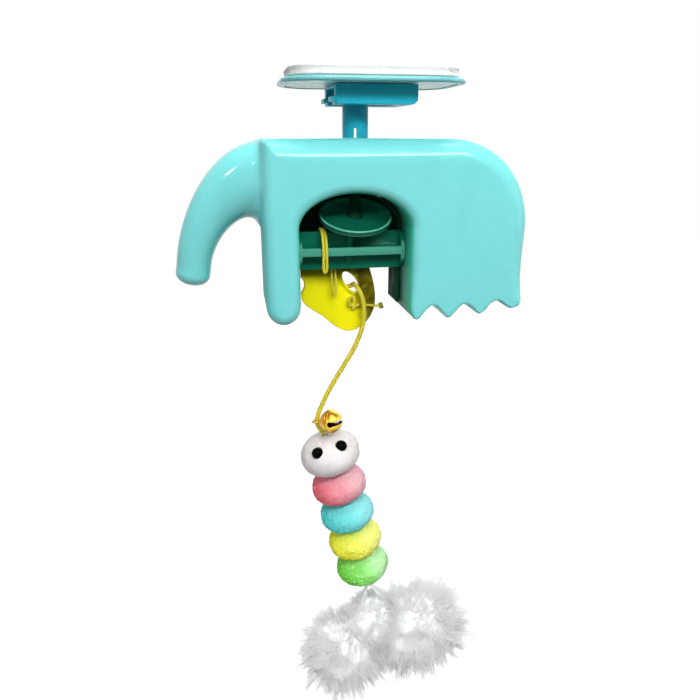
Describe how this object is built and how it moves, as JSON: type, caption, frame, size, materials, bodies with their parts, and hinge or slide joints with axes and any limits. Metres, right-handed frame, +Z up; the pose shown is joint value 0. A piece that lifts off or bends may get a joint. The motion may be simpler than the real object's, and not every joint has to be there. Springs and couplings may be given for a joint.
{
  "type": "door-hanging cat toy",
  "caption": "Cat toy that hangs under a door frame: adhesive plate with a rail, sliding post, swivelling elephant-shaped hollow body, and a cord with a bell, foam beads and a fur tail.",
  "frame": {"origin": "centre of the adhesive pad's top face, which sticks to the underside of a door frame", "axes": "+Z up, +X to the right as seen from the front, with the trunk towards -X and the front towards -Y"},
  "size_m": [0.123, 0.043, 0.2578],
  "materials": {
    "pad_foam": "soft foam with a satin skin",
    "plate_white": "semi-gloss moulded",
    "rim_mint": "semi-gloss moulded",
    "dark_teal": "gloss moulded",
    "shell_mint": "gloss moulded",
    "dark_green": "gloss moulded",
    "steel": "plain",
    "tag_yellow": "gloss moulded",
    "cord_yellow": "round elastic cord",
    "cord_knot": "tight knot of the cord",
    "gold": "polished",
    "head_white": "fine-celled foam",
    "eye_black": "high gloss",
    "foam_pink": "granular foam",
    "foam_blue": "granular foam",
    "foam_yellow": "granular foam",
    "foam_green": "granular foam",
    "thread": "twisted thread",
    "fur": "long fine fur"
  },
  "bodies": {
    "mount": {"adhesive_pad": "pad_foam", "plate_rim": "rim_mint", "plate_panel": "plate_white", "rail_housing": "dark_teal"},
    "slider": {"slide_post": "dark_teal", "locking_pin": "dark_green"},
    "elephant": {"front_shell": "shell_mint", "back_shell": "shell_mint", "shell_screw_1": "steel", "shell_screw_2": "steel", "shell_screw_3": "steel", "cross_bar": "dark_green", "arch_liner": "dark_green", "retaining_disc": "dark_green", "cord_bar_loop": "cord_yellow", "cord_leaf_loop": "cord_yellow"},
    "tag": {"hanging_tag": "tag_yellow", "hitch_knot": "cord_knot", "cord_lead": "cord_yellow", "front_knot": "cord_yellow", "cord_free_end": "cord_yellow", "end_knot": "cord_knot"},
    "cord": {"cord_main": "cord_yellow"},
    "bell": {"bell_upper": "gold", "bell_lower": "gold", "bell_ring": "gold", "bell_pea": "steel"},
    "lure": {"head_bead": "head_white", "eye_left": "eye_black", "eye_right": "eye_black", "foam_bead_pink": "foam_pink", "foam_bead_blue": "foam_blue", "foam_bead_yellow": "foam_yellow", "foam_bead_green": "foam_green", "core_thread": "thread", "tail_knot": "thread"},
    "tail": {"tail_strap_left": "thread", "tail_strap_right": "thread", "fur_tuft_left": "fur", "fur_tuft_right": "fur"}
  },
  "joints": [
    {"name": "post_slide", "type": "slide", "parent": "mount", "child": "slider", "axis": [1, 0, 0], "range_m": [-0.0026, 0.0068]},
    {"name": "swivel", "type": "hinge", "parent": "slider", "child": "elephant", "pos_m": [-0.0048, 0, -0.0215], "axis": [0, 0, 1], "continuous": true},
    {"name": "tag_swing", "type": "hinge", "parent": "elephant", "child": "tag", "pos_m": [-0.0103, 0.0048, -0.0625], "axis": [1, 0, 0], "range_deg": [-2, 9]},
    {"name": "cord_swing", "type": "hinge", "parent": "tag", "child": "cord", "pos_m": [-0.00375, 0.0047, -0.0741], "axis": [0, 1, 0], "range_deg": [-18, 25]},
    {"name": "bell_turn", "type": "hinge", "parent": "cord", "child": "bell", "pos_m": [-0.0197, 0, -0.12655], "axis": [0, 0, 1], "range_deg": [-45, 45]},
    {"name": "lure_swing", "type": "hinge", "parent": "cord", "child": "lure", "pos_m": [-0.01681, 0, -0.13212], "axis": [0, 1, 0], "range_deg": [-20, 48]},
    {"name": "tail_swing", "type": "hinge", "parent": "lure", "child": "tail", "pos_m": [0.00152, 0, -0.20567], "axis": [0, 1, 0], "range_deg": [-20, 17]}
  ]
}
